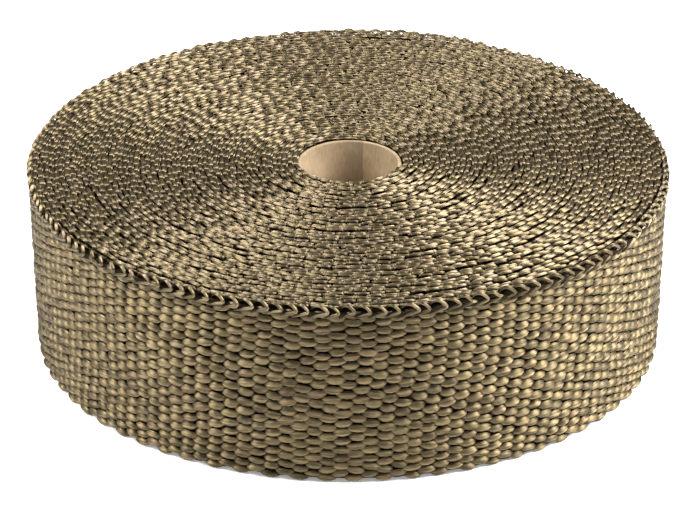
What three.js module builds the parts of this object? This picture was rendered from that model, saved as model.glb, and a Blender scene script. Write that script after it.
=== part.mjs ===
// Exhaust heat wrap: a roll of woven basalt tape on a thin cardboard core.
// Millimetres, +Z up. The roll lies flat, and the origin is the centre of its underside.

import * as THREE from 'three';

// Driving dimensions of the tape and its winding
const tapeWidth = 50; // the roll's height, because the tape is wound edge up
const tapeLength = 15240; // a 50 ft roll
const tapeThickness = 1.41; // one layer as wound, yarns pressed into the layer below
const turnsPerRing = 2; // neighbouring turns that lie at one level on the ends
const ringStep = 0.5; // how far every other ring lies below the ends
const selvedgeBulge = 0.5; // the woven edges are thicker than the tape between them
const selvedgeWidth = 3;

// Driving dimensions of the core
const coreBore = 25;
const coreWall = 1.1;
const coreRecess = 1.2; // the tube is cut a little shorter than the tape is wide
const coreChamfer = 0.3;
const coreClearance = 0.3; // between the tube and the first turn

// Smoothness of the round shapes
const segments = 40;

// A spiral of constant thickness covers as much area as the tape seen edge on.
const coilInnerRadius = coreBore / 2 + coreWall + coreClearance;
const coilOuterRadius = Math.sqrt(coilInnerRadius ** 2 + (tapeLength * tapeThickness) / Math.PI);
const turnCount = (coilOuterRadius - coilInnerRadius) / tapeThickness;

const basaltTape = new THREE.MeshStandardMaterial({ color: 0xa3916b, roughness: 0.75, metalness: 0 });
const cardboard = new THREE.MeshStandardMaterial({ color: 0xa88a68, roughness: 0.9, metalness: 0 });

// Turn a closed profile of [radius, height] points, listed counter-clockwise, about +Z.
function turned(profile) {
  const points = [...profile, profile[0]].map(([radius, height]) => new THREE.Vector2(radius, height));
  const geometry = new THREE.LatheGeometry(points, segments);
  geometry.rotateX(Math.PI / 2);
  return geometry;
}

// Radii where one ring of turns meets the next, from the outermost ring inwards.
function ringEdges() {
  const ringCount = Math.max(1, Math.round(turnCount / turnsPerRing));
  const ringWidth = (coilOuterRadius - coilInnerRadius) / ringCount;
  return Array.from({ length: ringCount + 1 }, (_, i) => coilOuterRadius - i * ringWidth);
}

// One end of the roll, from the outside in: flat rings at two levels, the outermost one proud.
function endSteps(endHeight, inward) {
  const edges = ringEdges();
  const steps = [];
  for (let ring = 0; ring + 1 < edges.length; ring += 1) {
    const height = endHeight + (ring % 2 === 0 ? 0 : inward * ringStep);
    steps.push([edges[ring], height], [edges[ring + 1], height]);
  }
  return steps;
}

// The wound tape as one solid, a little slimmer between its two selvedges.
function wrapCoil() {
  const wallRadius = coilOuterRadius - selvedgeBulge;
  const wall = [
    [wallRadius, selvedgeWidth],
    [wallRadius, tapeWidth - selvedgeWidth],
  ];
  const top = endSteps(tapeWidth, -1);
  const bottom = endSteps(0, 1).reverse();
  const mesh = new THREE.Mesh(turned([...wall, ...top, ...bottom]), basaltTape);
  mesh.name = 'wrap_coil';
  return mesh;
}

// The cardboard tube that the tape is wound on, centred in the tape's width.
function coreTube() {
  const bore = coreBore / 2;
  const outside = bore + coreWall;
  const length = tapeWidth - 2 * coreRecess;
  const mesh = new THREE.Mesh(
    turned([
      [bore + coreChamfer, 0],
      [outside, 0],
      [outside, length],
      [bore + coreChamfer, length],
      [bore, length - coreChamfer],
      [bore, coreChamfer],
    ]),
    cardboard,
  );
  mesh.name = 'core_tube';
  mesh.position.z = coreRecess;
  return mesh;
}

const heatWrap = new THREE.Group();
heatWrap.add(wrapCoil(), coreTube());

export default heatWrap;
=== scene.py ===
# Exhaust heat wrap: a roll of woven basalt tape on a thin cardboard core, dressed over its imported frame.
import math
import bpy
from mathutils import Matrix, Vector


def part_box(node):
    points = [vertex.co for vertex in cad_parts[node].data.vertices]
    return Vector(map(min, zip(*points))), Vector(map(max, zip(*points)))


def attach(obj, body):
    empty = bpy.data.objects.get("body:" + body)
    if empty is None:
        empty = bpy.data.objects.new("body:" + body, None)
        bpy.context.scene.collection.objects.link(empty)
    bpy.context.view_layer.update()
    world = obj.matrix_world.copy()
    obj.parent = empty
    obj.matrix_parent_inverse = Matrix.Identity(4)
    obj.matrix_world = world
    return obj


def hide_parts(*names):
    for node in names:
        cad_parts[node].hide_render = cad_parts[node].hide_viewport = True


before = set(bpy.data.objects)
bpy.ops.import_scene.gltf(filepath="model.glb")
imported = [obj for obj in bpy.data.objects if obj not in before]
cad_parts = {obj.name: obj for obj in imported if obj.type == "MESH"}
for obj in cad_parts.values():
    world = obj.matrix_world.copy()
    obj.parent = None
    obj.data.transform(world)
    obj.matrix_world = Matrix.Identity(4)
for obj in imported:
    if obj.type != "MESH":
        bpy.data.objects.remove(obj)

mm = 0.001
scene = bpy.context.scene
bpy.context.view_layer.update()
coilLow, coilHigh = (Vector(corner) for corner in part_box("wrap_coil"))
tubeLow, tubeHigh = (Vector(corner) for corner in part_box("core_tube"))
outerRadius = (coilHigh.x - coilLow.x) / 2
height = coilHigh.z
print("frame loaded: roll", round(outerRadius * 2 / mm, 1), "mm across")


def linear(hexColour):
    # sRGB hex to the linear colour that the shaders take
    parts = [int(hexColour[i:i + 2], 16) / 255 for i in (1, 3, 5)]
    return [c / 12.92 if c <= 0.04045 else ((c + 0.055) / 1.055) ** 2.4 for c in parts] + [1.0]


def addNode(tree, kind, inputs=None, **settings):
    # a node with its settings, its values and its links; a node given as a value links its first live output
    node = tree.nodes.new(kind)
    for name, value in settings.items():
        setattr(node, name, value)
    for socket, value in (inputs or {}).items():
        if isinstance(value, bpy.types.Node):
            value = next(out for out in value.outputs if out.enabled)
        if isinstance(value, bpy.types.NodeSocket):
            tree.links.new(value, node.inputs[socket])
        else:
            node.inputs[socket].default_value = value
    return node


def newTree(name, values):
    # a geometry tree whose named inputs follow the dictionary of values
    tree = bpy.data.node_groups.new(name, "GeometryNodeTree")
    tree.interface.new_socket("Geometry", in_out="INPUT", socket_type="NodeSocketGeometry")
    tree.interface.new_socket("Geometry", in_out="OUTPUT", socket_type="NodeSocketGeometry")
    for label, value in values.items():
        kind = "Float"
        if isinstance(value, bpy.types.Material):
            kind = "Material"
        elif isinstance(value, int):
            kind = "Int"
        tree.interface.new_socket(label, in_out="INPUT", socket_type="NodeSocket" + kind)
    return tree, addNode(tree, "NodeGroupInput").outputs


def runTree(name, mesh, tree, values):
    # put the tree on an object, fill its inputs by identifier, and keep the result as a plain mesh
    obj = bpy.data.objects.new(name, mesh)
    scene.collection.objects.link(obj)
    modifier = obj.modifiers.new("Nodes", "NODES")
    modifier.node_group = tree
    for item in tree.interface.items_tree:
        if item.in_out == "INPUT" and item.name in values:
            modifier[item.identifier] = values[item.name]
    graph = bpy.context.evaluated_depsgraph_get()
    result = bpy.data.meshes.new_from_object(obj.evaluated_get(graph), preserve_all_data_layers=True,
                                             depsgraph=graph)
    obj.modifiers.clear()
    obj.data = result
    result.name = name
    print("made", name, "with", sum(len(face.vertices) - 2 for face in result.polygons), "triangles")
    return obj


def dress(obj, slot, *nodes):
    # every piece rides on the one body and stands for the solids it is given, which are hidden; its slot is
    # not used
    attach(obj, "root")
    if nodes:
        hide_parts(*nodes)


# Yarn meshes: short closed tubes of yarn, swept along a few points and repeated by the trees

def sweep(name, rings, turns):
    # closed mesh through rings of (centre, across, out, halfWidth, halfDepth);
    # U runs along the yarn and V around it
    vertices, uvs, faces = [], [], []
    last = len(rings) - 1
    sides = len(turns)
    for number, (centre, across, out, halfWidth, halfDepth) in enumerate(rings):
        for turn in turns:
            vertices.append(centre + across * halfWidth * math.cos(turn) + out * halfDepth * math.sin(turn))
    for number in range(last):
        for side in range(sides):
            a, b = number * sides + side, number * sides + (side + 1) % sides
            faces.append((a, b, b + sides, a + sides))
            uvs += [(number / last, side / sides), (number / last, (side + 1) / sides),
                    ((number + 1) / last, (side + 1) / sides), ((number + 1) / last, side / sides)]
    for number, order in ((0, -1), (last, 1)):
        cap = [number * sides + side for side in range(sides)][::order]
        faces.append(cap)
        uvs += [(number / last, (corner % sides) / sides) for corner in cap]
    mesh = bpy.data.meshes.new(name)
    mesh.from_pydata([v * mm for v in vertices], [], faces)
    layer = mesh.uv_layers.new(name="UVMap")
    for corner, uv in zip(layer.data, uvs):
        corner.uv = uv
    mesh.shade_smooth()
    return mesh


def smoothPath(points, steps):
    # Catmull-Rom curve through the points, with a number of steps between each two
    padded = [2 * points[0] - points[1], *points, 2 * points[-1] - points[-2]]
    path = []
    for a, b, c, d in zip(padded, padded[1:], padded[2:], padded[3:]):
        for step in range(steps):
            t = step / steps
            path.append(0.5 * (2 * b + (c - a) * t + (2 * a - 5 * b + 4 * c - d) * t ** 2
                               + (3 * b - a - 3 * c + d) * t ** 3))
    return path + [points[-1]]


def yarnAlong(name, points, halfWidth, halfDepth, sides, steps=1, tip=0.55):
    # a yarn of oval section along a path; its section turns with the path and narrows at both ends
    path = smoothPath([Vector(p) for p in points], steps) if steps > 1 else [Vector(p) for p in points]
    rings = []
    out = Vector((1, 0, 0))
    for number, centre in enumerate(path):
        ahead = path[min(number + 1, len(path) - 1)] - path[max(number - 1, 0)]
        ahead.normalize()
        across = out.cross(ahead).normalized()
        out = ahead.cross(across).normalized()
        end = abs(2 * number / (len(path) - 1) - 1) ** 4
        size = 1 - (1 - tip) * end
        rings.append((centre, across, out, halfWidth * size, halfDepth * size))
    return sweep(name, rings, [2 * math.pi * side / sides for side in range(sides)])


# Outer wall: warp-faced plain weave, one plump bead of yarn where a warp passes over a weft

wall = {
    "pick": 3.65,            # weft spacing along the tape, mm
    "rows": 19,              # beads in one column across the tape
    "edgeTightening": 0.1,   # the beads are flatter towards the selvedges
    "beadLength": 5.4,
    "beadHeight": 2.2,
    "beadDepth": 0.68,
    "lozenge": 2.3,          # 1 is a sharp diamond, 2 an oval
    "pinch": 0.78,           # how fast a bead narrows to its ends
    "dive": 3.0,             # the higher, the flatter its back and the quicker its ends go down
    "sink": 0.85,            # how far the ends of a bead dive under its neighbours
    "lowest": 0.25,          # the rows start this far above the lower end, mm
    "highest": 2.4,          # and stop this far below the upper one
    "lean": 0.042,           # the weft runs this many radians around from edge to edge
    "drift": 0.009,          # radians that slow waves push groups of beads sideways
    "driftScale": 0.11,      # the lower, the longer these waves
    "driftNoise": (0.3, 0.7),  # the part of the noise's range that becomes -1 to 1
    "jitter": 0.003,         # radians that each bead is out of place
    "looseness": 0.1,        # the same up, down, in and out, mm
    "tilt": 0.14,            # radians
    "smallest": (0.85, 0.92, 0.9),     # each bead is scaled outwards, along and up between these
    "largest": (1.15, 1.08, 1.12),
    "seed": 4,
}
tape = {
    "thickness": 1.41,       # one layer as wound, mm
    "clearance": 0.3,        # between the core and the first layer
    "freeEnd": 1.08,         # angle of the tape's free end, behind the roll on the right, radians
    "lowerInset": 0.9,       # the lower selvedge is drawn in behind the wall
    "bulge": 0.2,            # the selvedge stands this far out of the wall
    "taper": 1.4,            # the roll is wound a little tighter at its lower end
}


def beadMesh():
    # a lozenge with a round back; only its outer half shows, so that half has most of the sides
    stations = (-0.98, -0.8, -0.45, 0.0, 0.45, 0.8, 0.98)
    turns = [math.pi * share for share in (0, 0.2, 0.4, 0.6, 0.8, 1, 1.5)]
    rings = []
    for t in stations:
        swell = (1 - abs(t) ** wall["lozenge"]) ** wall["pinch"]
        centre = Vector((-wall["sink"] * abs(t) ** wall["dive"], t * wall["beadLength"] / 2, 0))
        rings.append((centre, Vector((0, 0, 1)), Vector((1, 0, 0)),
                      wall["beadHeight"] / 2 * swell, wall["beadDepth"] * (1 - t ** 4) ** 0.5))
    return sweep("bead", rings, turns)


def wallTree(values):
    tree, given = newTree("Woven wall", values)
    index = addNode(tree, "GeometryNodeInputIndex")
    count = addNode(tree, "ShaderNodeMath", {0: given["Columns"], 1: given["Rows"]}, operation="MULTIPLY")
    points = addNode(tree, "GeometryNodePoints", {"Count": count})
    ratio = addNode(tree, "ShaderNodeMath", {0: index, 1: given["Rows"]}, operation="DIVIDE")
    rank = addNode(tree, "ShaderNodeMath", {0: ratio, 1: 0.0}, operation="FLOOR")
    column = addNode(tree, "ShaderNodeMath", {0: rank, 1: given["Column step"], 2: given["First column"]},
                     operation="MULTIPLY_ADD")
    row = addNode(tree, "ShaderNodeMath", {0: index, 1: given["Rows"]}, operation="MODULO")
    # neighbouring columns are staggered by half a bead
    parity = addNode(tree, "ShaderNodeMath", {0: column, 1: 2.0}, operation="MODULO")
    raised = addNode(tree, "ShaderNodeMath", {0: parity, 1: 0.5, 2: row}, operation="MULTIPLY_ADD")
    # the rows keep a quarter of a bead clear at both ends
    centred = addNode(tree, "ShaderNodeMath", {0: raised, 1: 0.25}, operation="ADD")
    share = addNode(tree, "ShaderNodeMath", {0: centred, 1: given["Rows"]}, operation="DIVIDE")
    around = addNode(tree, "ShaderNodeMath", {0: share, 1: 2 * math.pi}, operation="MULTIPLY")
    wave = addNode(tree, "ShaderNodeMath", {0: around}, operation="SINE")
    pull = addNode(tree, "ShaderNodeMath", {0: given["Edge tightening"], 1: -1 / (2 * math.pi)},
                   operation="MULTIPLY")
    eased = addNode(tree, "ShaderNodeMath", {0: wave, 1: pull, 2: share}, operation="MULTIPLY_ADD")
    level = addNode(tree, "ShaderNodeMapRange",
                    {"Value": eased, "To Min": given["Lowest"], "To Max": given["Highest"]})
    # the tape runs inwards by one layer in a turn, counter-clockwise from its free end
    turn = addNode(tree, "ShaderNodeMath", {0: given["Pick spacing"], 1: given["Outer radius"]},
                   operation="DIVIDE")
    swept = addNode(tree, "ShaderNodeMath", {0: column, 1: turn}, operation="MULTIPLY")
    inward = addNode(tree, "ShaderNodeMath", {0: swept, 1: -1 / (2 * math.pi)}, operation="MULTIPLY")
    radius = addNode(tree, "ShaderNodeMath",
                     {0: inward, 1: given["Layer thickness"], 2: given["Outer radius"]},
                     operation="MULTIPLY_ADD")
    started = addNode(tree, "ShaderNodeMath", {0: swept, 1: given["Start angle"]}, operation="ADD")
    fromMiddle = addNode(tree, "ShaderNodeMath", {0: share, 1: 0.5}, operation="SUBTRACT")
    leaning = addNode(tree, "ShaderNodeMath", {0: fromMiddle, 1: given["Lean"], 2: started},
                      operation="MULTIPLY_ADD")
    # slow waves push whole groups of beads, and each bead has a small place of its own
    place = addNode(tree, "ShaderNodeCombineXYZ", {0: column, 1: row, 2: 0.0})
    slow = addNode(tree, "ShaderNodeTexNoise", {"Vector": place, "Scale": wall["driftScale"], "Detail": 1.0})
    least, most = wall["driftNoise"]
    drift = addNode(tree, "ShaderNodeMapRange", {"Value": slow.outputs["Fac"], "From Min": least,
                                                 "From Max": most, "To Min": -1.0, "To Max": 1.0})
    loose = addNode(tree, "FunctionNodeRandomValue", {0: (-1, -1, -1), 1: (1, 1, 1), "Seed": given["Seed"]},
                    data_type="FLOAT_VECTOR")
    apart = addNode(tree, "ShaderNodeSeparateXYZ", {0: loose})
    drifted = addNode(tree, "ShaderNodeMath", {0: drift, 1: given["Drift"], 2: leaning},
                      operation="MULTIPLY_ADD")
    angle = addNode(tree, "ShaderNodeMath", {0: apart.outputs[0], 1: given["Jitter"], 2: drifted},
                    operation="MULTIPLY_ADD")
    ruffled = addNode(tree, "ShaderNodeMath", {0: apart.outputs[1], 1: given["Looseness"], 2: radius},
                      operation="MULTIPLY_ADD")
    lift = addNode(tree, "ShaderNodeMath", {0: level, 1: given["Taper"], 2: ruffled},
                   operation="MULTIPLY_ADD")
    z = addNode(tree, "ShaderNodeMath", {0: apart.outputs[2], 1: given["Looseness"], 2: level},
                operation="MULTIPLY_ADD")
    cosine = addNode(tree, "ShaderNodeMath", {0: angle}, operation="COSINE")
    sine = addNode(tree, "ShaderNodeMath", {0: angle}, operation="SINE")
    x = addNode(tree, "ShaderNodeMath", {0: cosine, 1: lift}, operation="MULTIPLY")
    y = addNode(tree, "ShaderNodeMath", {0: sine, 1: lift}, operation="MULTIPLY")
    spot = addNode(tree, "ShaderNodeCombineXYZ", {0: x, 1: y, 2: z})
    laid = addNode(tree, "GeometryNodeSetPosition", {"Geometry": points, "Position": spot})
    sway = addNode(tree, "FunctionNodeRandomValue", {2: -1.0, 3: 1.0, "Seed": given["Seed"]},
                   data_type="FLOAT")
    tilt = addNode(tree, "ShaderNodeMath", {0: sway, 1: given["Tilt"]}, operation="MULTIPLY")
    facing = addNode(tree, "ShaderNodeCombineXYZ", {0: tilt, 1: 0.0, 2: angle})
    # the beads shrink with the rows towards the selvedges
    crest = addNode(tree, "ShaderNodeMath", {0: around}, operation="COSINE")
    squeeze = addNode(tree, "ShaderNodeMath", {0: crest, 1: given["Edge tightening"]}, operation="MULTIPLY")
    tall = addNode(tree, "ShaderNodeMath", {0: 1.0, 1: squeeze}, operation="SUBTRACT")
    uneven = addNode(tree, "FunctionNodeRandomValue", {0: wall["smallest"], 1: wall["largest"],
                                                       "Seed": given["Seed"]}, data_type="FLOAT_VECTOR")
    stretch = addNode(tree, "ShaderNodeCombineXYZ", {0: 1.0, 1: 1.0, 2: tall})
    size = addNode(tree, "ShaderNodeVectorMath", {0: uneven, 1: stretch}, operation="MULTIPLY")
    beads = addNode(tree, "GeometryNodeInstanceOnPoints", {"Points": laid, "Instance": given["Geometry"],
                                                           "Rotation": facing, "Scale": size})
    tint = addNode(tree, "FunctionNodeRandomValue", {2: 0.0, 3: 1.0, "Seed": given["Seed"]},
                   data_type="FLOAT")
    tinted = addNode(tree, "GeometryNodeStoreNamedAttribute",
                     {"Geometry": beads, "Name": "tint", "Value": tint},
                     data_type="FLOAT", domain="INSTANCE")
    real = addNode(tree, "GeometryNodeRealizeInstances", {"Geometry": tinted})
    finished = addNode(tree, "GeometryNodeSetMaterial", {"Geometry": real, "Material": given["Yarn"]})
    addNode(tree, "NodeGroupOutput", {0: finished})
    return tree


# Ends of the roll: each layer shows its selvedge, where the weft loops around the edge yarns

ends = {
    "yarnWidth": 0.55,       # half the width of a selvedge yarn, mm, flattened over the edge of the tape
    "yarnDepth": 0.24,       # half its thickness
    "rimYarn": 0.4,          # half the thickness of the round yarn on the outermost layer
    # centre line of a loop, mm: outwards, along the tape and down from its crest
    "loop": [(-0.08, -1.85, 1.5), (0.0, -1.68, 0.8), (0.06, -1.45, 0.2), (0.1, -1.15, 0.02),
             (0.25, 1.15, 0.02), (0.32, 1.45, 0.2), (0.4, 1.68, 0.8), (0.48, 1.85, 1.5)],
    "lowerLoop": [(-0.08, -1.75, 1.4), (0.08, -1.15, 0.2), (0.18, 0.0, 0.0),
                  (0.32, 1.15, 0.2), (0.48, 1.75, 1.4)],
    # edge warp that the loops close on, on the inner face of the layer; it keeps light out of the gap
    "edgeWarp": [(-0.44, -1.95, 0.14), (-0.44, 1.95, 0.14)],
    "edgeWarpWidth": 0.42,
    "edgeWarpDepth": 0.45,
    "edgeWarpEndShade": 0.25,    # it shows no ends, so it takes little of the painted shade of yarn ends
    "rimEndShade": 0.5,          # the hairpins are longer, so the painted shade of their ends takes a smaller share of them
    # on the outermost layer the loop turns back round a hairpin and runs down over the wall
    "rimLoop": [(-0.62, -2.0, 1.4), (-0.5, -1.2, 0.5), (-0.2, -0.4, 0.1), (0.15, 0.4, 0.12),
                (0.42, 1.15, 0.55), (0.6, 1.75, 1.1), (0.68, 1.98, 1.45), (0.68, 1.6, 1.85),
                (0.66, 0.2, 2.25), (0.5, -1.5, 2.85), (0.05, -2.9, 3.5)],
    "rimReach": 1.0,         # from the crests of the outermost layer to the roll's full radius
    "wander": 0.55,          # the layers stand up to this much lower in places
    "wanderNoise": (0.3, 0.6),  # the part of the noise's range that becomes lowest to highest
    "layerGrain": 0.9,       # how quickly that changes from layer to layer
    "alongGrain": 30.0,      # and along the tape, per metre
    "outOfPlace": (0.18, 0.45, 0.25),  # mm outwards, along and up
    "rimOrder": 0.3,         # the outermost loops lie in better order
    "spin": 0.2,             # radians
    "least": -0.5,           # the first loops lean in over the edge of the core
    "firstPicks": 24,        # picks that start inside the first layer
    "slack": 0.55,           # the second layer stands this far clear of the outermost one
    "slackAngle": -0.45,     # where the gap is widest, radians
    "slackWidth": 0.6,       # and how far to both sides it reaches
    "slackDepth": 6.0,       # the higher, the fewer layers draw back with it
    "smallest": (0.88, 0.85, 0.9),     # each loop is scaled outwards, along and up between these
    "largest": (1.12, 1.15, 1.1),
    "seed": 11,
}


def loopMesh(name, points, halfWidth, halfDepth, sides, steps=1):
    # a loop lies on its end of the roll, its width outwards and its thickness up
    centreLine = [(x, y, -depth - halfDepth) for x, y, depth in points]
    return yarnAlong(name, centreLine, halfDepth, halfWidth, sides, steps)


def lessEndShade(mesh, share):
    # U nearer the middle of the yarn, so that less of its length takes the painted shade of its ends
    for corner in mesh.uv_layers[0].data:
        corner.uv.x = 0.5 + share * (corner.uv.x - 0.5)
    return mesh


def joined(name, meshes):
    # several yarn meshes as one template
    vertices, faces, uvs = [], [], []
    for mesh in meshes:
        start = len(vertices)
        vertices += [vertex.co.copy() for vertex in mesh.vertices]
        faces += [[start + corner for corner in face.vertices] for face in mesh.polygons]
        uvs += [corner.uv.copy() for corner in mesh.uv_layers[0].data]
    whole = bpy.data.meshes.new(name)
    whole.from_pydata(vertices, [], faces)
    layer = whole.uv_layers.new(name="UVMap")
    for corner, uv in zip(layer.data, uvs):
        corner.uv = uv
    whole.shade_smooth()
    return whole


def loopTree(values):
    tree, given = newTree("Selvedge loops", values)
    index = addNode(tree, "GeometryNodeInputIndex")
    points = addNode(tree, "GeometryNodePoints", {"Count": given["Count"]})
    # picks are counted from the core outwards; the layer thickness sets the spiral's radius from its length
    number = addNode(tree, "ShaderNodeMath", {0: index, 1: given["First pick"]}, operation="ADD")
    length = addNode(tree, "ShaderNodeMath", {0: number, 1: given["Pick spacing"]}, operation="MULTIPLY")
    edge = addNode(tree, "ShaderNodeMath", {0: length, 1: given["Layer thickness"]}, operation="MULTIPLY")
    area = addNode(tree, "ShaderNodeMath", {0: edge, 1: 1 / math.pi}, operation="MULTIPLY")
    core = addNode(tree, "ShaderNodeMath", {0: given["Inner radius"], 1: 2.0}, operation="POWER")
    squared = addNode(tree, "ShaderNodeMath", {0: area, 1: core}, operation="ADD")
    spiral = addNode(tree, "ShaderNodeMath", {0: squared}, operation="SQRT")
    radius = addNode(tree, "ShaderNodeMath", {0: spiral, 1: given["Least radius"]}, operation="MAXIMUM")
    toGo = addNode(tree, "ShaderNodeMath", {0: given["Outer radius"], 1: spiral}, operation="SUBTRACT")
    turns = addNode(tree, "ShaderNodeMath", {0: toGo, 1: given["Layer thickness"]}, operation="DIVIDE")
    base = addNode(tree, "ShaderNodeMath", {0: turns, 1: 2 * math.pi, 2: given["End angle"]},
                   operation="MULTIPLY_ADD")
    # slack: near one angle the outer layers draw back from the outermost one
    away = addNode(tree, "ShaderNodeMath", {0: base, 1: given["Slack angle"]}, operation="SUBTRACT")
    facing = addNode(tree, "ShaderNodeMath", {0: away}, operation="COSINE")
    wide = addNode(tree, "ShaderNodeMapRange",
                   {"Value": facing, "From Min": given["Slack edge"], "From Max": 1.0},
                   interpolation_type="SMOOTHSTEP")
    share = addNode(tree, "ShaderNodeMath", {0: radius, 1: given["Outer radius"]}, operation="DIVIDE")
    far = addNode(tree, "ShaderNodeMath", {0: share, 1: given["Slack depth"]}, operation="POWER")
    opening = addNode(tree, "ShaderNodeMath", {0: wide, 1: far}, operation="MULTIPLY")
    drawn = addNode(tree, "ShaderNodeMath", {0: opening, 1: given["Slack"]}, operation="MULTIPLY")
    # the layers waver, and each loop has a small place of its own
    loose = addNode(tree, "FunctionNodeRandomValue", {0: (-1, -1, -1), 1: (1, 1, 1), "Seed": given["Seed"]},
                    data_type="FLOAT_VECTOR")
    apart = addNode(tree, "ShaderNodeSeparateXYZ", {0: loose})
    placed = addNode(tree, "ShaderNodeMath", {0: radius, 1: drawn}, operation="SUBTRACT")
    lift = addNode(tree, "ShaderNodeMath", {0: apart.outputs[0], 1: given["Loose outwards"], 2: placed},
                   operation="MULTIPLY_ADD")
    nudge = addNode(tree, "ShaderNodeMath", {0: given["Loose along"], 1: radius}, operation="DIVIDE")
    angle = addNode(tree, "ShaderNodeMath", {0: apart.outputs[1], 1: nudge, 2: base},
                    operation="MULTIPLY_ADD")
    cosine = addNode(tree, "ShaderNodeMath", {0: angle}, operation="COSINE")
    sine = addNode(tree, "ShaderNodeMath", {0: angle}, operation="SINE")
    x = addNode(tree, "ShaderNodeMath", {0: cosine, 1: lift}, operation="MULTIPLY")
    y = addNode(tree, "ShaderNodeMath", {0: sine, 1: lift}, operation="MULTIPLY")
    layer = addNode(tree, "ShaderNodeMath", {0: turns, 1: given["Layer grain"]}, operation="MULTIPLY")
    stretch = addNode(tree, "ShaderNodeMath", {0: length, 1: given["Along grain"]}, operation="MULTIPLY")
    patch = addNode(tree, "ShaderNodeCombineXYZ", {0: layer, 1: stretch, 2: 0.0})
    slow = addNode(tree, "ShaderNodeTexNoise", {"Vector": patch, "Scale": 1.0, "Detail": 1.0})
    sag = addNode(tree, "ShaderNodeMath", {0: given["Wander"], 1: -1.0}, operation="MULTIPLY")
    least, most = ends["wanderNoise"]
    swell = addNode(tree, "ShaderNodeMapRange", {"Value": slow.outputs["Fac"], "From Min": least,
                                                 "From Max": most, "To Min": sag, "To Max": 0.0})
    own = addNode(tree, "ShaderNodeMath", {0: apart.outputs[2], 1: given["Loose up"], 2: swell},
                  operation="MULTIPLY_ADD")
    z = addNode(tree, "ShaderNodeMath", {0: own, 1: given["Facing"], 2: given["Level"]},
                operation="MULTIPLY_ADD")
    spot = addNode(tree, "ShaderNodeCombineXYZ", {0: x, 1: y, 2: z})
    laid = addNode(tree, "GeometryNodeSetPosition", {"Geometry": points, "Position": spot})
    sway = addNode(tree, "FunctionNodeRandomValue", {2: -1.0, 3: 1.0, "Seed": given["Seed"]},
                   data_type="FLOAT")
    spun = addNode(tree, "ShaderNodeMath", {0: sway, 1: given["Spin"], 2: angle}, operation="MULTIPLY_ADD")
    rotation = addNode(tree, "ShaderNodeCombineXYZ", {0: 0.0, 1: 0.0, 2: spun})
    uneven = addNode(tree, "FunctionNodeRandomValue", {0: ends["smallest"], 1: ends["largest"],
                                                       "Seed": given["Seed"]}, data_type="FLOAT_VECTOR")
    loops = addNode(tree, "GeometryNodeInstanceOnPoints", {"Points": laid, "Instance": given["Geometry"],
                                                           "Rotation": rotation, "Scale": uneven})
    tint = addNode(tree, "FunctionNodeRandomValue", {2: 0.0, 3: 1.0, "Seed": given["Seed"]},
                   data_type="FLOAT")
    tinted = addNode(tree, "GeometryNodeStoreNamedAttribute",
                     {"Geometry": loops, "Name": "tint", "Value": tint},
                     data_type="FLOAT", domain="INSTANCE")
    real = addNode(tree, "GeometryNodeRealizeInstances", {"Geometry": tinted})
    finished = addNode(tree, "GeometryNodeSetMaterial", {"Geometry": real, "Material": given["Yarn"]})
    addNode(tree, "NodeGroupOutput", {0: finished})
    return tree


def flipped(mesh):
    # the same loops mirrored for the underside, with their faces still outwards
    copy = mesh.copy()
    for vertex in copy.vertices:
        vertex.co.z = -vertex.co.z
    copy.flip_normals()
    return copy


# Materials

yarns = {
    "warpTints": ("#7a6d53", "#7f7052", "#847556", "#88795b", "#847257"),
    "edgeTints": ("#827356", "#87785a", "#8b7c60", "#948468", "#8e7d65"),
    # painted shade where a yarn dives under its neighbours: how far from the middle of the yarn it begins and
    # is full, where 0.5 is the yarn's end, and how much of the colour it leaves
    "warpEndShade": (0.3, 0.5, 0.9),
    "edgeEndShade": (0.09, 0.21, 0.4),
    "warpRoughness": 0.64,
    "edgeRoughness": 0.61,
    "metallic": 0.9,         # the glass isn't metal, but the sheen of its filaments has their own colour
    "anisotropic": 0.9,
    "glossTurn": 0.25,       # a quarter turn, so that the gloss runs across the filaments
    "twist": 0.25,           # radians that the filaments wind around the yarn
    "streaks": (0.9, 5.5, 1.0),        # streaks along and around one yarn
    "spread": 40.0,          # how far apart the yarns lie in the noise, so that their streaks differ
    "streakNoise": (0.38, 0.62),       # the part of the noise's range that is used
    "streakShade": (0.5, 1.4),         # and the shades that it becomes
    "relief": 0.2,           # mm
    # painted shade: the weft deep between the yarns, coloured as dark as it shows in shade
    "shadeDark": "#140e07",
    "shadePale": "#2c2114",
}
board = {
    "dark": "#7a684b",
    "pale": "#a48e71",
    "seam": 1.28,            # radians around the bore, where the inner ply ends
    "paintedBandEnd": 1.9,         # and where the painted shade beside it has faded out
    # share of the colour left right beside the seam, under the painted shade
    "paintedBandShade": 0.62,
    "fibres": 1500.0,        # per metre
    "clouds": 130.0,
}


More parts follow.
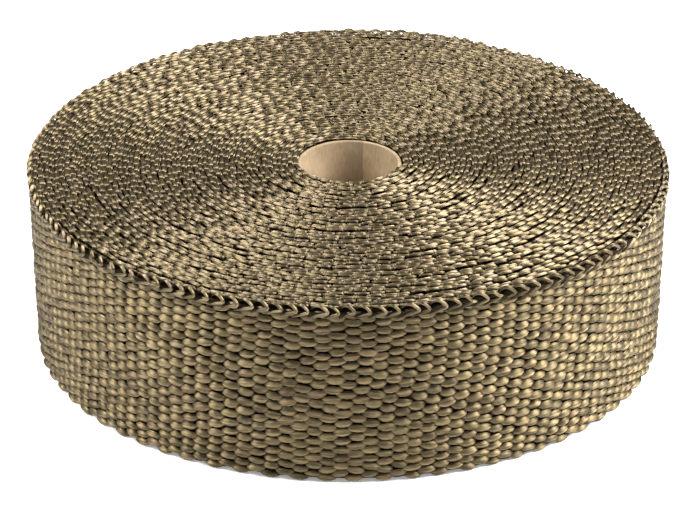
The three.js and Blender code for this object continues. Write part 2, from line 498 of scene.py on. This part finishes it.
def yarnMaterial(name, tints, endShading, roughness):
    # basalt filament yarn: long parallel glassy filaments, so a satin gloss that runs across the yarn
    material = bpy.data.materials.new(name)
    material.use_nodes = True
    tree = material.node_tree
    tree.nodes.clear()
    tint = addNode(tree, "ShaderNodeAttribute", attribute_name="tint")
    ramp = addNode(tree, "ShaderNodeValToRGB", {"Fac": tint.outputs["Fac"]})
    stops = ramp.color_ramp.elements
    while len(stops) < len(tints):
        stops.new(0.5)
    for number, hexColour in enumerate(tints):
        stops[number].position = number / (len(tints) - 1)
        stops[number].color = linear(hexColour)
    # filaments: fine streaks along the yarn, drawn coarser than the real 0.01 mm so that they show
    uv = addNode(tree, "ShaderNodeUVMap", uv_map="UVMap")
    twisted = addNode(tree, "ShaderNodeMapping", {"Vector": uv.outputs[0], "Rotation": (0, 0, yarns["twist"]),
                                                  "Scale": yarns["streaks"]})
    own = addNode(tree, "ShaderNodeVectorMath", {0: tint.outputs["Color"], 3: yarns["spread"]},
                  operation="SCALE")
    shifted = addNode(tree, "ShaderNodeVectorMath", {0: twisted, 1: own}, operation="ADD")
    streaks = addNode(tree, "ShaderNodeTexNoise", {"Vector": shifted, "Scale": 1.0, "Detail": 3.0,
                                                   "Roughness": 0.6})
    least, most = yarns["streakNoise"]
    dark, pale = yarns["streakShade"]
    shade = addNode(tree, "ShaderNodeMapRange", {"Value": streaks.outputs["Fac"], "From Min": least,
                                                 "From Max": most, "To Min": dark, "To Max": pale})
    # painted shade: the colour darkens towards both ends of a yarn, where it dives under its neighbours
    along = addNode(tree, "ShaderNodeSeparateXYZ", {0: uv.outputs[0]})
    centred = addNode(tree, "ShaderNodeMath", {0: along.outputs[0], 1: 0.5}, operation="SUBTRACT")
    away = addNode(tree, "ShaderNodeMath", {0: centred}, operation="ABSOLUTE")
    begins, full, left = endShading
    endShade = addNode(tree, "ShaderNodeMapRange", {"Value": away, "From Min": begins, "From Max": full,
                                                "To Min": 1.0, "To Max": left})
    unshaded = addNode(tree, "ShaderNodeVectorMath", {0: ramp.outputs["Color"], 3: shade}, operation="SCALE")
    colour = addNode(tree, "ShaderNodeVectorMath", {0: unshaded, 3: endShade}, operation="SCALE")
    bump = addNode(tree, "ShaderNodeBump", {"Height": streaks.outputs["Fac"], "Strength": 0.6,
                                            "Distance": yarns["relief"] * mm})
    filaments = addNode(tree, "ShaderNodeTangent", direction_type="UV_MAP", uv_map="UVMap")
    surface = addNode(tree, "ShaderNodeBsdfPrincipled", {
        "Base Color": colour, "Roughness": roughness, "Metallic": yarns["metallic"],
        "Specular IOR Level": 1.0, "Anisotropic": yarns["anisotropic"],
        "Anisotropic Rotation": yarns["glossTurn"], "Normal": bump, "Tangent": filaments})
    addNode(tree, "ShaderNodeOutputMaterial", {"Surface": surface})
    return material


def bedMaterial():
    # what shows deep between the yarns: the weft, its colour painted as dark as it shows in shade
    material = bpy.data.materials.new("Basalt weft in shade")
    material.use_nodes = True
    tree = material.node_tree
    tree.nodes.clear()
    place = addNode(tree, "ShaderNodeTexCoord")
    grain = addNode(tree, "ShaderNodeTexNoise",
                    {"Vector": place.outputs["Object"], "Scale": 900.0, "Detail": 3.0})
    ramp = addNode(tree, "ShaderNodeValToRGB", {"Fac": grain.outputs["Fac"]})
    ramp.color_ramp.elements[0].color = linear(yarns["shadeDark"])
    ramp.color_ramp.elements[1].color = linear(yarns["shadePale"])
    bump = addNode(tree, "ShaderNodeBump",
                   {"Height": grain.outputs["Fac"], "Strength": 0.6, "Distance": 0.3 * mm})
    surface = addNode(tree, "ShaderNodeBsdfPrincipled", {"Base Color": ramp, "Roughness": 0.85,
                                                         "Specular IOR Level": 0.1, "Normal": bump})
    addNode(tree, "ShaderNodeOutputMaterial", {"Surface": surface})
    return material


def boardMaterial():
    # spiral-wound kraft board: matt, short fibres, slightly darker bands from the plies
    material = bpy.data.materials.new("Kraft cardboard")
    material.use_nodes = True
    tree = material.node_tree
    tree.nodes.clear()
    place = addNode(tree, "ShaderNodeTexCoord")
    fibre = addNode(tree, "ShaderNodeMapping", {"Vector": place.outputs["Object"], "Scale": (1.0, 1.0, 0.35)})
    grain = addNode(tree, "ShaderNodeTexNoise",
                    {"Vector": fibre, "Scale": board["fibres"], "Detail": 4.0, "Roughness": 0.65})
    cloud = addNode(tree, "ShaderNodeTexNoise",
                    {"Vector": place.outputs["Object"], "Scale": board["clouds"], "Detail": 2.0})
    both = addNode(tree, "ShaderNodeMix",
                   {"Factor": 0.5, "A": grain.outputs["Fac"], "B": cloud.outputs["Fac"]})
    ramp = addNode(tree, "ShaderNodeValToRGB", {"Fac": both})
    ramp.color_ramp.elements[0].position = 0.3
    ramp.color_ramp.elements[0].color = linear(board["dark"])
    ramp.color_ramp.elements[1].position = 0.7
    ramp.color_ramp.elements[1].color = linear(board["pale"])
    # the inner ply ends in a butt seam that runs up the bore;
    # painted shade: a band on one side of it is darkened, fading out away from the seam
    apart = addNode(tree, "ShaderNodeSeparateXYZ", {0: place.outputs["Object"]})
    angle = addNode(tree, "ShaderNodeMath", {0: apart.outputs[1], 1: apart.outputs[0]}, operation="ARCTAN2")
    paintedBand = addNode(tree, "ShaderNodeMapRange", {"Value": angle, "From Min": board["seam"],
                                                 "From Max": board["paintedBandEnd"],
                                                 "To Min": board["paintedBandShade"], "To Max": 1.0})
    beyond = addNode(tree, "ShaderNodeMath", {0: angle, 1: board["seam"]}, operation="LESS_THAN")
    seam = addNode(tree, "ShaderNodeMath", {0: paintedBand, 1: beyond}, operation="MAXIMUM")
    shaded = addNode(tree, "ShaderNodeVectorMath", {0: ramp, 3: seam}, operation="SCALE")
    bump = addNode(tree, "ShaderNodeBump",
                   {"Height": grain.outputs["Fac"], "Strength": 0.35, "Distance": 0.08 * mm})
    surface = addNode(tree, "ShaderNodeBsdfPrincipled",
                      {"Base Color": shaded, "Roughness": 0.88, "Normal": bump})
    addNode(tree, "ShaderNodeOutputMaterial", {"Surface": surface})
    return material


warpYarn = yarnMaterial("Basalt warp yarn", yarns["warpTints"], yarns["warpEndShade"], yarns["warpRoughness"])
edgeYarn = yarnMaterial("Basalt selvedge yarn", yarns["edgeTints"], yarns["edgeEndShade"],
                        yarns["edgeRoughness"])
weftBed = bedMaterial()
kraftBoard = boardMaterial()
print("materials ready")


# Lathe for the bed under the yarns and for the cardboard tube

def turned(name, profile, segments, material):
    # closed profile of (radius, height) in metres, counter-clockwise, turned about Z
    vertices, faces = [], []
    for step in range(segments):
        angle = 2 * math.pi * step / segments
        for radius, z in profile:
            vertices.append((radius * math.cos(angle), radius * math.sin(angle), z))
    size = len(profile)
    for step in range(segments):
        for spot in range(size):
            a = step * size + spot
            b = step * size + (spot + 1) % size
            c = ((step + 1) % segments) * size + (spot + 1) % size
            d = ((step + 1) % segments) * size + spot
            faces.append((a, d, c, b))
    mesh = bpy.data.meshes.new(name)
    mesh.from_pydata(vertices, [], faces)
    mesh.materials.append(material)
    mesh.shade_smooth()
    obj = bpy.data.objects.new(name, mesh)
    scene.collection.objects.link(obj)
    return obj


coreOuter = (tubeHigh.x - tubeLow.x) / 2
coilInner = coreOuter + tape["clearance"] * mm
wallRadius = outerRadius - tape["bulge"] * mm
footRadius = wallRadius - tape["taper"] * mm
bedValues = {
    "depth": 2.2,            # mm behind the faces of the beads
    "sink": 1.9,             # and below the crests of the loops
    "rimGap": 0.1,           # inwards of the crests of the outermost loops
    "rimWidth": 1.3,         # along the rim it lies deeper
    "rimSink": 2.4,
    "footWidth": 4.0,        # along the foot it reaches almost down to the floor
    "footSink": 0.3,
    "shoulder": 3.2,         # down to here the outermost layer is only as thick as its selvedge
    "segments": 160,
}
bedFoot = footRadius - bedValues["depth"] * mm
bedTop = wallRadius - bedValues["depth"] * mm
bedRim = outerRadius - (ends["rimReach"] + bedValues["rimGap"]) * mm
bedStep = bedRim - bedValues["rimWidth"] * mm
sink = bedValues["sink"] * mm
shoulder = height - bedValues["shoulder"] * mm
rimLevel = height - bedValues["rimSink"] * mm
bedHeel = bedFoot - bedValues["footWidth"] * mm
footSink = bedValues["footSink"] * mm
bed = turned("weft_bed", [
    (coilInner, sink), (bedHeel, sink), (bedHeel, footSink), (bedFoot, footSink), (bedTop, shoulder),
    (bedRim, shoulder), (bedRim, rimLevel), (bedStep, rimLevel), (bedStep, height - sink),
    (coilInner, height - sink),
], bedValues["segments"], weftBed)
dress(bed, "basalt_weave", "wrap_coil")


# Wall

pickCount = round(2 * math.pi * wallRadius / (wall["pick"] * mm))
# two sets of every other column, with a few more than one turn, so that the tape goes on under its free end
wallValues = {
    "Outer radius": footRadius - wall["beadDepth"] * mm,
    "Taper": tape["taper"] * mm / height,
    "Layer thickness": tape["thickness"] * mm,
    "Pick spacing": wall["pick"] * mm,
    "Columns": pickCount // 2 + 2,
    "Column step": 2,
    "First column": 0,
    "Rows": wall["rows"],
    "Lowest": wall["lowest"] * mm,
    "Highest": height - wall["highest"] * mm,
    "Edge tightening": wall["edgeTightening"],
    "Lean": wall["lean"],
    "Drift": wall["drift"],
    "Jitter": wall["jitter"],
    "Tilt": wall["tilt"],
    "Looseness": wall["looseness"] * mm,
    "Start angle": tape["freeEnd"],
    "Seed": wall["seed"],
    "Yarn": warpYarn,
}
weave = wallTree(wallValues)
bead = beadMesh()
for parity, name in enumerate(("wall_warp_odd", "wall_warp_even")):
    piece = runTree(name, bead, weave, {**wallValues, "First column": parity, "Seed": wall["seed"] + parity})
    dress(piece, "basalt_weave", "wrap_coil")


# Ends

tapeLength = math.pi * (outerRadius ** 2 - coilInner ** 2) / (tape["thickness"] * mm)
allPicks = int(tapeLength / (wall["pick"] * mm))
lastTurn = round(2 * math.pi * outerRadius / (wall["pick"] * mm))
firstTurn = round(2 * math.pi * coilInner / (wall["pick"] * mm))
innerHalf = (allPicks - lastTurn) // 2
loopValues = {
    "Count": innerHalf,
    "First pick": 0,
    "Pick spacing": wall["pick"] * mm,
    "Layer thickness": tape["thickness"] * mm,
    "Inner radius": coilInner + tape["thickness"] / 2 * mm,
    "Least radius": coilInner + ends["least"] * mm,
    "Outer radius": outerRadius - ends["rimReach"] * mm,
    "Wander": ends["wander"] * mm,
    "Layer grain": ends["layerGrain"],
    "Along grain": ends["alongGrain"],
    "Loose outwards": ends["outOfPlace"][0] * mm,
    "Loose along": ends["outOfPlace"][1] * mm,
    "Loose up": ends["outOfPlace"][2] * mm,
    "Spin": ends["spin"],
    "End angle": tape["freeEnd"],
    "Level": height,
    "Facing": 1.0,
    "Slack": ends["slack"] * mm,
    "Slack angle": ends["slackAngle"],
    "Slack edge": math.cos(ends["slackWidth"]),
    "Slack depth": ends["slackDepth"],
    "Seed": ends["seed"],
    "Yarn": edgeYarn,
}
selvedge = loopTree(loopValues)
loopSize = (ends["yarnWidth"], ends["yarnDepth"])
edgeWarp = loopMesh("edge warp", ends["edgeWarp"], ends["edgeWarpWidth"], ends["edgeWarpDepth"],
                    sides=4)
edgeWarp = lessEndShade(edgeWarp, ends["edgeWarpEndShade"])
plainLoop = joined("loop and edge warp", [loopMesh("loop", ends["loop"], *loopSize, sides=5), edgeWarp])
hairpin = loopMesh("rim loop", ends["rimLoop"], ends["rimYarn"], ends["rimYarn"], sides=7, steps=2)
hairpin = lessEndShade(hairpin, ends["rimEndShade"])
rimLoop = joined("rim loop and edge warp", [hairpin, edgeWarp])
lowerLoop = loopMesh("lower loop", ends["lowerLoop"], *loopSize, sides=4)
# stretches of the tape from the core outwards: name, upper and lower loop, first pick, number of picks,
# slack and disorder
sections = (
    ("core", plainLoop, lowerLoop, -ends["firstPicks"], firstTurn + ends["firstPicks"], 0.0, 1.0),
    ("inner", plainLoop, lowerLoop, firstTurn, innerHalf - firstTurn, ends["slack"] * mm, 1.0),
    ("outer", plainLoop, lowerLoop, innerHalf, allPicks - lastTurn - innerHalf, ends["slack"] * mm, 1.0),
    ("rim", rimLoop, lowerLoop, allPicks - lastTurn, lastTurn, 0.0, ends["rimOrder"]),
)
lowerEnd = (tape["taper"] + tape["lowerInset"]) * mm
for side, level, facing, inset in (("top", height, 1.0, 0.0), ("bottom", 0.0, -1.0, lowerEnd)):
    # the taper takes a little from each layer, and the last loop always ends on the outermost radius
    crest = loopValues["Outer radius"] - inset
    layer = math.pi * (crest ** 2 - loopValues["Inner radius"] ** 2) / (allPicks * wall["pick"] * mm)
    for place, upper, lower, first, count, slack, disorder in sections:
        template = upper if facing > 0 else flipped(lower)
        piece = runTree(f"{side}_{place}_selvedge", template, selvedge,
                        {**loopValues, "Count": count, "First pick": first, "Level": level, "Facing": facing,
                         "Layer thickness": layer, "Outer radius": crest,
                         "Spin": ends["spin"] * disorder,
                         "Loose outwards": loopValues["Loose outwards"] * disorder,
                         "Slack": slack, "Seed": ends["seed"] + first})
        dress(piece, "basalt_weave", "wrap_coil")


# Core

core = {
    "bore": 25.0,            # mm
    "segments": 128,
    "rimRound": 0.25,        # mm, the cut edge of the board is slightly crushed
}
boreRadius = core["bore"] / 2 * mm
roundOff = core["rimRound"] * mm
tube = turned("cardboard_tube", [
    (boreRadius, tubeLow.z + roundOff), (boreRadius + roundOff, tubeLow.z),
    (coreOuter - roundOff, tubeLow.z), (coreOuter, tubeLow.z + roundOff),
    (coreOuter, tubeHigh.z - roundOff), (coreOuter - roundOff, tubeHigh.z),
    (boreRadius + roundOff, tubeHigh.z), (boreRadius, tubeHigh.z - roundOff),
], core["segments"], kraftBoard)
dress(tube, "core_board", "core_tube")
print("core made")


# Studio: pale floor that glows a little, a large soft box high on each side, soft surround

studio = {
    "rightWatts": 23.5,
    "leftWatts": 14.0,
    "topWatts": 0.1,         # barely on
    "surround": 0.06,
    "glow": 0.3,             # the floor gives off some light of its own
    "floorReach": 6.0,       # metres to each side
    "floorDrop": 0.2,        # mm below the roll's lower end
    "boxWidth": 0.34,        # metres
    "boxHeight": 0.6,
    "sideDistance": 0.95,    # metres
    "sideElevation": 48.0,   # degrees
    "topPlace": (0, 0.1, 1.1),         # metres
    "topSize": 0.7,
}


def softBox(name, watts, place, target, width, depth):
    light = bpy.data.lights.new(name, "AREA")
    light.shape = "RECTANGLE"
    light.size, light.size_y = width, depth
    light.energy = watts
    lamp = bpy.data.objects.new(name, light)
    lamp.location = place
    lamp.rotation_euler = (Vector(target) - Vector(place)).to_track_quat("-Z", "Y").to_euler()
    scene.collection.objects.link(lamp)


def studioSet():
    floor = bpy.data.meshes.new("floor")
    reach = studio["floorReach"]
    low = -studio["floorDrop"] * mm
    corners = [(-reach, -reach, low), (reach, -reach, low), (reach, reach, low), (-reach, reach, low)]
    floor.from_pydata(corners, [], [(0, 1, 2, 3)])
    paper = bpy.data.materials.new("White paper sweep")
    paper.use_nodes = True
    surface = paper.node_tree.nodes["Principled BSDF"]
    surface.inputs["Base Color"].default_value = linear("#fbfbfa")
    surface.inputs["Roughness"].default_value = 0.9
    surface.inputs["Emission Color"].default_value = (1, 1, 1, 1)
    surface.inputs["Emission Strength"].default_value = studio["glow"]
    floor.materials.append(paper)
    ground = bpy.data.objects.new("floor", floor)
    scene.collection.objects.link(ground)
    middle = (0, 0, height / 2)
    level = studio["sideDistance"] * math.cos(math.radians(studio["sideElevation"]))
    above = studio["sideDistance"] * math.sin(math.radians(studio["sideElevation"]))
    box = (studio["boxWidth"], studio["boxHeight"])
    softBox("right soft box", studio["rightWatts"], (level, 0, above), middle, *box)
    softBox("left soft box", studio["leftWatts"], (-level, 0, above), middle, *box)
    softBox("top soft box", studio["topWatts"], studio["topPlace"], middle, studio["topSize"],
            studio["topSize"])
    world = bpy.data.worlds.new("studio")
    world.use_nodes = True
    sky = world.node_tree.nodes["Background"]
    sky.inputs["Color"].default_value = (1, 1, 1, 1)
    sky.inputs["Strength"].default_value = studio["surround"]
    scene.world = world
    scene.view_settings.view_transform = "Standard"


studioSet()


# Camera: a long lens a little over a metre away, looking down at the roll

view = {
    "elevation": 25.61,      # degrees above the roll's upper end
    "distance": 1179.0,      # mm from the centre of the upper end
    "lens": 234.2,           # on a 36 mm sensor
    "centreX": 349.05,       # pixel of the photograph where the centre of the upper end lies
    "centreY": 158.0,
    "frame": (700, 508),
}


def makeCamera():
    lens = bpy.data.cameras.new("camera")
    lens.sensor_width = 36
    lens.lens = view["lens"]
    lens.clip_start = 0.01
    obj = bpy.data.objects.new("camera", lens)
    focal = view["lens"] / lens.sensor_width * view["frame"][0]
    elevation = math.radians(view["elevation"])
    distance = view["distance"] * mm
    obj.location = (0, -distance * math.cos(elevation), height + distance * math.sin(elevation))
    # aim so that the centre of the upper end falls on its pixel
    down = elevation + math.atan((view["frame"][1] / 2 - view["centreY"]) / focal)
    aside = math.atan((view["frame"][0] / 2 - view["centreX"]) / focal)
    obj.rotation_euler = (math.pi / 2 - down, 0, -aside)
    scene.collection.objects.link(obj)
    scene.camera = obj


makeCamera()

print("dressed")
